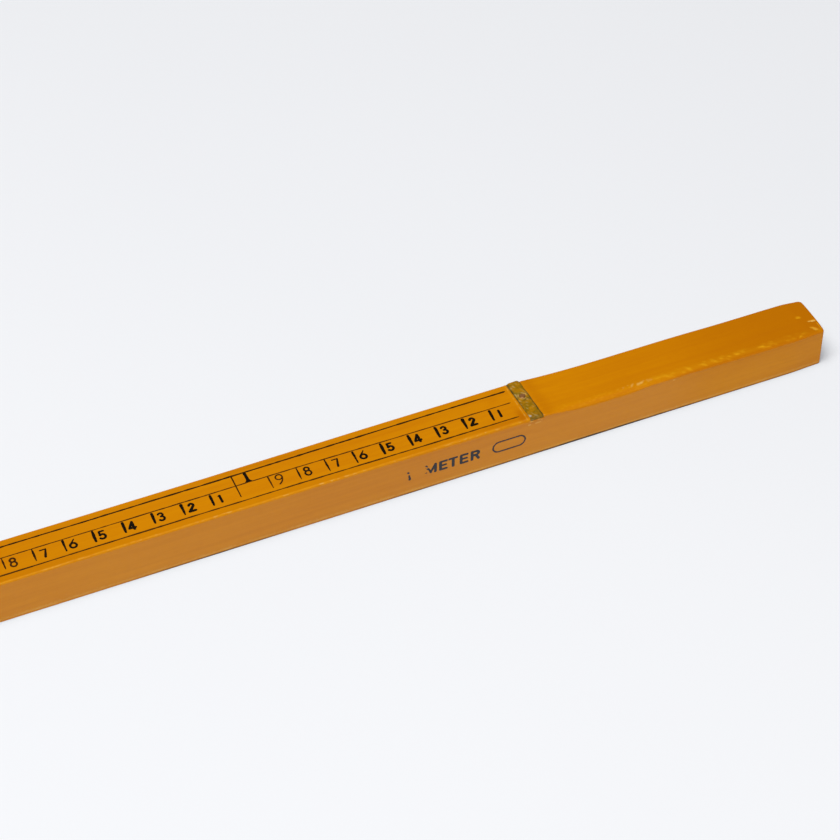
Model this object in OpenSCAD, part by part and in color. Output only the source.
// Wooden metre stick of the kind a cloth seller uses: a square lacquered bar graduated on its top face,
// with a lower, rounded grip beyond the zero mark and a brass strip let in across the zero mark.
// Millimetres, +Z up. X = 0 is the zero mark, readings run along -X, the grip lies along +X.
// Y = 0 is the middle of the width, and the legend is on the -Y face. Z = 0 is the face it rests on.

/* [Stick] */
// Graduated length, in decimetres
dm_count = 10; // [2:1:10]
// Width of the bar
stick_w = 18.5; // [17:0.5:24]
// Height of the graduated part
stick_h = 17.2; // [15:0.2:20]
// Bevel of the long edges of the graduated part
edge_bevel = 0.4; // [0.2:0.1:0.8]

/* [Grip] */
// Distance from the zero mark to the end of the grip
grip_end = 114; // [80:0.5:140]
// How far the top of the grip lies below the graduated face
grip_drop = 1.6; // [1.2:0.1:3]
// Length over which the top eases down behind the zero strip
ease_len = 30; // [16:0.5:40]
// Rounding of the long edges of the grip
grip_round = 1; // [0.6:0.1:2]
// Rounding of the upright and lower edges of the grip's end
end_round = 2; // [1:0.1:4]

/* [Brass] */
// Width of the zero strip along the stick
strip_w = 5; // [3:0.5:8]
// Thickness of the zero strip
strip_t = 1.1; // [1:0.05:1.3]
// Depth of the seat that the zero strip lies in
seat_depth = 0.8; // [0.6:0.05:0.9]
// How much nearer the grip the strip's near end lies than its far end
strip_skew = 0.6; // [0:0.1:1.2]
// Thickness of the strap that closes the far end
shoe_t = 1; // [0.8:0.1:1.5]
// Length of the strap's legs along the stick
shoe_leg = 9; // [7:0.5:14]
// Length of the pins
pin_len = 6.5; // [4:0.5:8]

/* [Print] */
// Cap height of the centimetre figures
figure_h = 4.1; // [3:0.1:4.6]
// Width of the centimetre figures
figure_w = 2.7; // [2:0.1:3.2]
// Stroke of the centimetre figures
figure_s = 0.75; // [0.3:0.05:0.75]
// Width of the centimetre ticks
tick_w = 0.9; // [0.35:0.05:1]
// Cap height of the legend on the side face
legend_h = 4.3; // [3:0.1:6]
// Stroke of the legend on the side face
legend_s = 0.85; // [0.4:0.05:0.85]

/* [Hidden] */
$fa = 4;
$fs = 0.1;

wood_colour = [0.80, 0.50, 0.10];
brass_colour = [0.62, 0.46, 0.16];
copper_colour = [0.60, 0.32, 0.20];
ink_colour = [0.13, 0.09, 0.06];

// A millimetre of overshoot, so that cutters leave cleanly
over = 1;
half_w = stick_w / 2;
measure_len = dm_count * 100;
wood_far = -measure_len + shoe_t;

// Zero strip and the shelf that it lies on
shelf_z = stick_h - seat_depth;
strip_top = shelf_z + strip_t;
strip_end_round = 0.5;
strip_pin_y = 2;

// Low lip that holds the strip on the grip's side
lip_h = 0.4;
lip_w = 0.4;
lip_z = shelf_z + lip_h;
grip_start = strip_w + strip_skew + lip_w;

// Grip: below a small step behind the lip, the top eases down on an arc that ends level
grip_h = stick_h - grip_drop;
ease_step = 0.15;
ease_drop = lip_z - ease_step - grip_h;
ease_r = round(50 * (ease_len * ease_len + ease_drop * ease_drop) / ease_drop) / 100;
ease_angle = asin(ease_len / ease_r);
ease_end = grip_start + ease_len;
core_h = grip_h * 0.7;
ease_depth = grip_h * 0.6;

// Pins: a countersunk head with a low dome
pin_r = 0.7;
pin_head_r = 1.15;
pin_sink = 0.5;
pin_dome = 0.12;
shoe_pin_x = -measure_len + shoe_leg / 2;

// Print: heights above the near edge of the top face, and how far each line stops short of the zero mark
ink_t = 0.05;
lane_near = 3.2;
lane_mid = 10.4;
lane_far = 15.4;
lane_scale = stick_w / 18.5;
lane_lines = [
    [lane_near * lane_scale, 0.3, 2.5],
    [lane_mid * lane_scale, 0.25, 2],
    [lane_far * lane_scale, 0.45, 1.3]
];
lane_stop = 1.5;
tick_foot = 4.8 * lane_scale;
tick_top = 9.9 * lane_scale;
figure_foot = 5.1 * lane_scale;
decimetre_line_w = 0.35;
figure_gap = 1.2;
decimetre_rise = 0.3;
decimetre_h = (lane_far - lane_mid) * lane_scale - 2 * decimetre_rise;
decimetre_w = 2.5;
decimetre_s = 0.9;
decimetre_gap = 2.5;

// Legend and mark on the near side face
legend_w = 3.2;
legend_wide = 4.2;
legend_steps = [5.2, 8.7, 12.6, 16.8];
legend_x = -38;
legend_unit_x = -45.1;
legend_foot = (stick_h - legend_h) / 2 - 0.15;
mark_x = -7.2;
mark_len = 12.4;
mark_h = 5;
mark_s = 0.5;
mark_z = stick_h / 2 + 0.2;
mark_left = [mark_x - mark_len / 2 + mark_h / 2, mark_z];
mark_right = [mark_x + mark_len / 2 - mark_h / 2, mark_z];

// ---------- drawing aids ----------

// Lays a 2D shape drawn in (Y, Z) along X from x0 to x1
module along_x(x0, x1) {
    translate([x0, 0, 0])
        rotate([90, 0, 90])
            linear_extrude(x1 - x0)
                children();
}

// Lays a 2D shape drawn in (X, Z) across the stick from y0 to y1
module across(y0, y1) {
    translate([0, y1, 0])
        rotate([90, 0, 0])
            linear_extrude(y1 - y0)
                children();
}

// Rectangle from a to b with round corners
module round_rect(a, b, r) {
    translate(a + [r, 0])
        square(b - a - [2 * r, 0]);
    translate(a + [0, r])
        square(b - a - [0, 2 * r]);
    for (x = [a[0] + r, b[0] - r], y = [a[1] + r, b[1] - r])
        translate([x, y])
            circle(r);
}

// Bar with round ends, its end circles of radius r centred on p and q
module pill(p, q, r) {
    for (c = [p, q])
        translate(c)
            circle(r);
    stroke(p, q, 2 * r);
}

// Straight stroke of a pen between two points, cut square at both ends
module stroke(p, q, w) {
    n = [p[1] - q[1], q[0] - p[0]] * (w / 2 / norm(q - p));
    polygon([p + n, p - n, q - n, q + n]);
}

// Whole ring about c, r to the middle of its stroke
module ring(c, r, w) {
    translate(c)
        difference() {
            circle(r + w / 2);
            circle(r - w / 2);
        }
}

// Part of a ring about c, from angle a to angle b
module bow(c, r, w, a, b) {
    reach = 2 * (r + w);
    steps = ceil((b - a) / 60);
    intersection() {
        ring(c, r, w);
        translate(c)
            polygon(concat([[0, 0]], [for (i = [0:steps]) on_circle([0, 0], reach, a + (b - a) * i / steps)]));
    }
}

// Angle about c at which a line from p touches a circle of radius r, on the anticlockwise side of p
function touch_angle(c, p, r) = atan2(p[1] - c[1], p[0] - c[0]) + acos(r / norm(p - c));

function on_circle(c, r, a) = c + r * [cos(a), sin(a)];

// Keeps what a glyph draws inside its own box
module cell(w, h) {
    intersection() {
        union()
            children();
        square([w, h]);
    }
}

// ---------- figures: box w by h, stroke s, standing on y = 0 ----------

module figure_0(w, h, s) {
    low = [w / 2, w / 2];
    high = [w / 2, h - w / 2];
    difference() {
        pill(low, high, w / 2);
        pill(low, high, w / 2 - s);
    }
}

module figure_1(w, h, s) {
    x = w * 0.45;
    translate([x, 0])
        square([s, h]);
    cell(w, h)
        stroke([x - s, h * 0.74], [x + s * 0.6, h * 0.98], s * 0.7);
}

module figure_2(w, h, s) {
    r = (w - s) / 2;
    c = [w / 2, h - s / 2 - r];
    foot = [s / 2, s / 2];
    a = touch_angle(c, foot, r);
    bow(c, r, s, a - 10, 170);
    stroke(on_circle(c, r, a), foot, s);
    square([w, s]);
}

module figure_3(w, h, s) {
    waist = 0.06 * s;
    lap = 0.25 * s;
    low_r = (h - s) * 0.27;
    high_r = (h - s) / 2 - low_r - waist;
    low = [w - s / 2 - low_r, s / 2 + low_r];
    high = [low[0], h - s / 2 - high_r];
    bow(low, low_r, s, -150, 90);
    bow(high, high_r, s, -90, 150);
    translate([low[0] - s, low[1] + low_r - s / 2])
        square([s + lap, s + 2 * waist]);
}

module figure_4(w, h, s) {
    bar_y = h * 0.2;
    stem_x = w * 0.58;
    translate([stem_x, 0])
        square([s, h]);
    translate([0, bar_y])
        square([w, s]);
    cell(w, h)
        stroke([s * 0.1, bar_y], [stem_x + s, h + s * 0.2], s);
}

module figure_5(w, h, s) {
    r = (h - s) * 0.3;
    c = [w - s / 2 - r, s / 2 + r];
    stem_x = w * 0.14;
    bow(c, r, s, -145, 140);
    translate([stem_x, h - s])
        square([w * 0.95 - stem_x, s]);
    translate([stem_x, c[1] + r * 0.35])
        square([s, h - c[1] - r * 0.35]);
}

module figure_6(w, h, s) {
    r = (w - s) / 2;
    c = [w / 2, s / 2 + r];
    tip = [w * 0.75, h];
    a = touch_angle(c, tip, r);
    ring(c, r, s);
    cell(w, h)
        stroke(on_circle(c, r, a), tip + (tip - on_circle(c, r, a)) * 0.2, s);
}

module figure_7(w, h, s) {
    translate([0, h - s])
        square([w, s]);
    cell(w, h)
        stroke([w - s * 0.55, h], [w * 0.3, -s], s);
}

module figure_8(w, h, s) {
    waist = 0.06 * s;
    low_r = min((w - s) / 2, (h - s) * 0.28);
    high_r = (h - s) / 2 - low_r - waist;
    ring([w / 2, s / 2 + low_r], low_r, s);
    ring([w / 2, h - s / 2 - high_r], high_r, s);
}

module figure_9(w, h, s) {
    translate([w, h])
        rotate(180)
            figure_6(w, h, s);
}

module figure(n, w, h, s) {
    if (n == 0) figure_0(w, h, s);
    if (n == 1) figure_1(w, h, s);
    if (n == 2) figure_2(w, h, s);
    if (n == 3) figure_3(w, h, s);
    if (n == 4) figure_4(w, h, s);
    if (n == 5) figure_5(w, h, s);
    if (n == 6) figure_6(w, h, s);
    if (n == 7) figure_7(w, h, s);
    if (n == 8) figure_8(w, h, s);
    if (n == 9) figure_9(w, h, s);
}

// The decimetre one has a flag and a foot
module footed_one(w, h, s) {
    figure_1(w, h, s);
    translate([w * 0.45 + s / 2 - w / 2, 0])
        square([w, s * 0.7]);
}

// ---------- letters ----------

module letter_m(w, h, s) {
    square([s, h]);
    translate([w - s, 0])
        square([s, h]);
    cell(w, h) {
        stroke([0, h + s], [w / 2 + s * 0.2, h * 0.12], s);
        stroke([w, h + s], [w / 2 - s * 0.2, h * 0.12], s);
    }
}

module letter_e(w, h, s) {
    square([s, h]);
    for (y = [0, h - s])
        translate([0, y])
            square([w, s]);
    translate([0, (h - s) / 2])
        square([w * 0.9, s]);
}

module letter_t(w, h, s) {
    translate([0, h - s])
        square([w, s]);
    translate([(w - s) / 2, 0])
        square([s, h]);
}

module letter_r(w, h, s) {
    mid_y = h * 0.4;
    r = (h - s - mid_y) / 2;
    x = w - s / 2 - r;
    lap = 0.2 * s;
    square([s, h]);
    for (y = [mid_y, h - s])
        translate([0, y])
            square([x + lap, s]);
    bow([x, mid_y + s / 2 + r], r, s, -90, 90);
    cell(w, h)
        stroke([x - s * 0.6, mid_y + s], [w - s * 0.3, -s * 0.5], s);
}

// ---------- the bar ----------

// Section of the graduated part, in (Y, Z)
module bar_section() {
    polygon([
        [-half_w + edge_bevel, 0],
        [half_w - edge_bevel, 0],
        [half_w, edge_bevel],
        [half_w, stick_h - edge_bevel],
        [half_w - edge_bevel, stick_h],
        [-half_w + edge_bevel, stick_h],
        [-half_w, stick_h - edge_bevel],
        [-half_w, edge_bevel]
    ]);
}

// Outline of the zero strip seen from above, drawn on as far past each side face as ext says
module strip_plan(ext) {
    lean = strip_skew * (1 + ext / stick_w);
    polygon([
        [strip_skew - lean, half_w + ext],
        [lean, -half_w - ext],
        [lean + strip_w, -half_w - ext],
        [strip_skew - lean + strip_w, half_w + ext]
    ]);
}

// Level part of the grip, with its rounded end
module grip_level() {
    intersection() {
        along_x(ease_end, grip_end)
            round_rect([-half_w, 0], [half_w, grip_h], grip_round);
        linear_extrude(stick_h)
            round_rect([0, -half_w], [grip_end, half_w], end_round);
        across(-half_w, half_w)
            round_rect([0, 0], [grip_end, 2 * stick_h], end_round);
        across(-half_w, half_w)
            round_rect([0, -stick_h], [grip_end, grip_h], grip_round);
    }
}

// Part of the grip where the top eases down from the shelf
module grip_ease() {
    along_x(grip_start, ease_end)
        difference() {
            round_rect([-half_w, 0], [half_w, stick_h + grip_round], grip_round);
            translate([-stick_w, core_h])
                square([2 * stick_w, 2 * stick_h]);
        }
    translate([ease_end, 0, grip_h + ease_r])
        rotate([-90, 90, 0])
            rotate_extrude(angle = ease_angle, $fn = 1200)
                difference() {
                    round_rect([ease_r, -half_w], [ease_r + 2 * ease_depth, half_w], grip_round);
                    translate([ease_r + ease_depth, -stick_w])
                        square([2 * ease_depth, 2 * stick_w]);
                }
}

// What the zero strip lies in, and all that stands above the lip behind it
module strip_seat() {
    translate([0, 0, shelf_z])
        linear_extrude(stick_h)
            strip_plan(over);
    translate([strip_w / 2, -half_w - over, lip_z])
        cube([grip_start + ease_len / 2, stick_w + 2 * over, stick_h]);
}

module stick() {
    color(wood_colour)
        difference() {
            union() {
                along_x(wood_far, grip_start)
                    bar_section();
                grip_ease();
                grip_level();
            }
            strip_seat();
            shoe_rebates();
            zero_pin_at()
                pin_hole();
            shoe_pins_at()
                pin_hole();
        }
}

// ---------- pins: drawn along -Z, the top of the countersink at Z = 0 ----------

module pin() {
    dome_r = (pin_head_r * pin_head_r + pin_dome * pin_dome) / (2 * pin_dome);
    translate([0, 0, -pin_len])
        cylinder(h = pin_len - pin_sink / 2, r = pin_r);
    translate([0, 0, -pin_sink])
        cylinder(h = pin_sink, r1 = pin_r, r2 = pin_head_r);
    intersection() {
        translate([0, 0, pin_dome - dome_r])
            sphere(dome_r, $fn = 180);
        cylinder(h = 2 * pin_dome, r = pin_head_r);
    }
}

module pin_hole() {
    translate([0, 0, -pin_len])
        cylinder(h = pin_len + over, r = pin_r);
}

module countersink() {
    pin_hole();
    translate([0, 0, -pin_sink])
        cylinder(h = pin_sink, r1 = pin_r, r2 = pin_head_r);
}

module zero_pin_at() {
    translate([(strip_w + strip_skew) / 2, strip_pin_y, strip_top])
        children();
}

module shoe_pins_at() {
    for (side = [-1, 1])
        translate([shoe_pin_x, side * half_w, stick_h / 2])
            rotate([-90 * side, 0, 0])
                children();
}

module zero_strip_pin() {
    color(copper_colour)
        zero_pin_at()
            pin();
}

module tip_shoe_pins() {
    color(brass_colour)
        shoe_pins_at()
            pin();
}

// ---------- brass ----------

module zero_strip() {
    color(brass_colour)
        difference() {
            intersection() {
                translate([0, 0, shelf_z])
                    linear_extrude(strip_t)
                        strip_plan(0);
                along_x(-over, grip_start + over)
                    round_rect([-half_w, shelf_z - stick_h], [half_w, strip_top], strip_end_round);
            }
            zero_pin_at()
                countersink();
        }
}

// Where the strap's legs are let into the side faces
module shoe_rebates() {
    for (side = [-1, 1])
        translate([wood_far - over, side * (half_w - shoe_t / 2 + over / 2), -over])
            translate([0, -(shoe_t + over) / 2, 0])
                cube([shoe_leg - shoe_t + over, shoe_t + over, stick_h + 2 * over]);
}

module tip_shoe() {
    color(brass_colour)
        difference() {
            intersection() {
                along_x(-measure_len, -measure_len + shoe_leg)
                    bar_section();
                linear_extrude(stick_h)
                    round_rect([-measure_len, -half_w], [0, half_w], shoe_t);
            }
            translate([wood_far, -half_w + shoe_t, -over])
                cube([shoe_leg + over, stick_w - 2 * shoe_t, stick_h + 2 * over]);
            shoe_pins_at()
                countersink();
        }
}

// ---------- print on the top face ----------

// A flat ink shape on the top face, drawn with y measured from the near edge
module on_top() {
    color(ink_colour)
        translate([0, -half_w, stick_h])
            linear_extrude(ink_t)
                children();
}

module ruled_lines() {
    on_top() {
        for (line = lane_lines)
            translate([wood_far + lane_stop, line[0] - line[1] / 2])
                square([-wood_far - lane_stop - line[2], line[1]]);
        for (dm = [1:dm_count - 1])
            translate([-100 * dm - decimetre_line_w / 2, tick_foot])
                square([decimetre_line_w, lane_lines[2][0] - tick_foot]);
    }
}

module centimetre_ticks() {
    on_top()
        for (dm = [0:dm_count - 1], cm = [1:9])
            translate([-100 * dm - 10 * cm - tick_w / 2, tick_foot])
                square([tick_w, tick_top - tick_foot]);
}

module centimetre_figures() {
    on_top()
        for (dm = [0:dm_count - 1], cm = [1:9])
            translate([-100 * dm - 10 * cm + figure_gap, figure_foot])
                figure(cm, figure_w, figure_h, figure_s);
}

module decimetre_figures() {
    on_top()
        for (dm = [1:dm_count])
            translate([-100 * dm + decimetre_gap, lane_lines[1][0] + decimetre_rise]) {
                if (dm % 9 == 1) footed_one(decimetre_w, decimetre_h, decimetre_s);
                if (dm > 1 && dm < 10) figure(dm, decimetre_w, decimetre_h, decimetre_s);
                if (dm == 10) translate([decimetre_w + 1, 0]) figure_0(decimetre_w, decimetre_h, decimetre_s);
            }
}

// ---------- print on the near side face ----------

module on_side() {
    color(ink_colour)
        across(-half_w - ink_t, -half_w)
            children();
}

module unit_legend() {
    on_side() {
        translate([legend_unit_x, legend_foot])
            figure_1(figure_w, legend_h, legend_s);
        translate([legend_x, legend_foot]) {
            letter_m(legend_wide, legend_h, legend_s);
            for (step = [legend_steps[0], legend_steps[2]])
                translate([step, 0])
                    letter_e(legend_w, legend_h, legend_s);
            translate([legend_steps[1], 0])
                letter_t(legend_w, legend_h, legend_s);
            translate([legend_steps[3], 0])
                letter_r(legend_w, legend_h, legend_s);
        }
    }
}

module side_mark() {
    on_side()
        difference() {
            pill(mark_left, mark_right, mark_h / 2);
            pill(mark_left, mark_right, mark_h / 2 - mark_s);
        }
}

stick();
zero_strip();
zero_strip_pin();
tip_shoe();
tip_shoe_pins();
ruled_lines();
centimetre_ticks();
centimetre_figures();
decimetre_figures();
unit_legend();
side_mark();
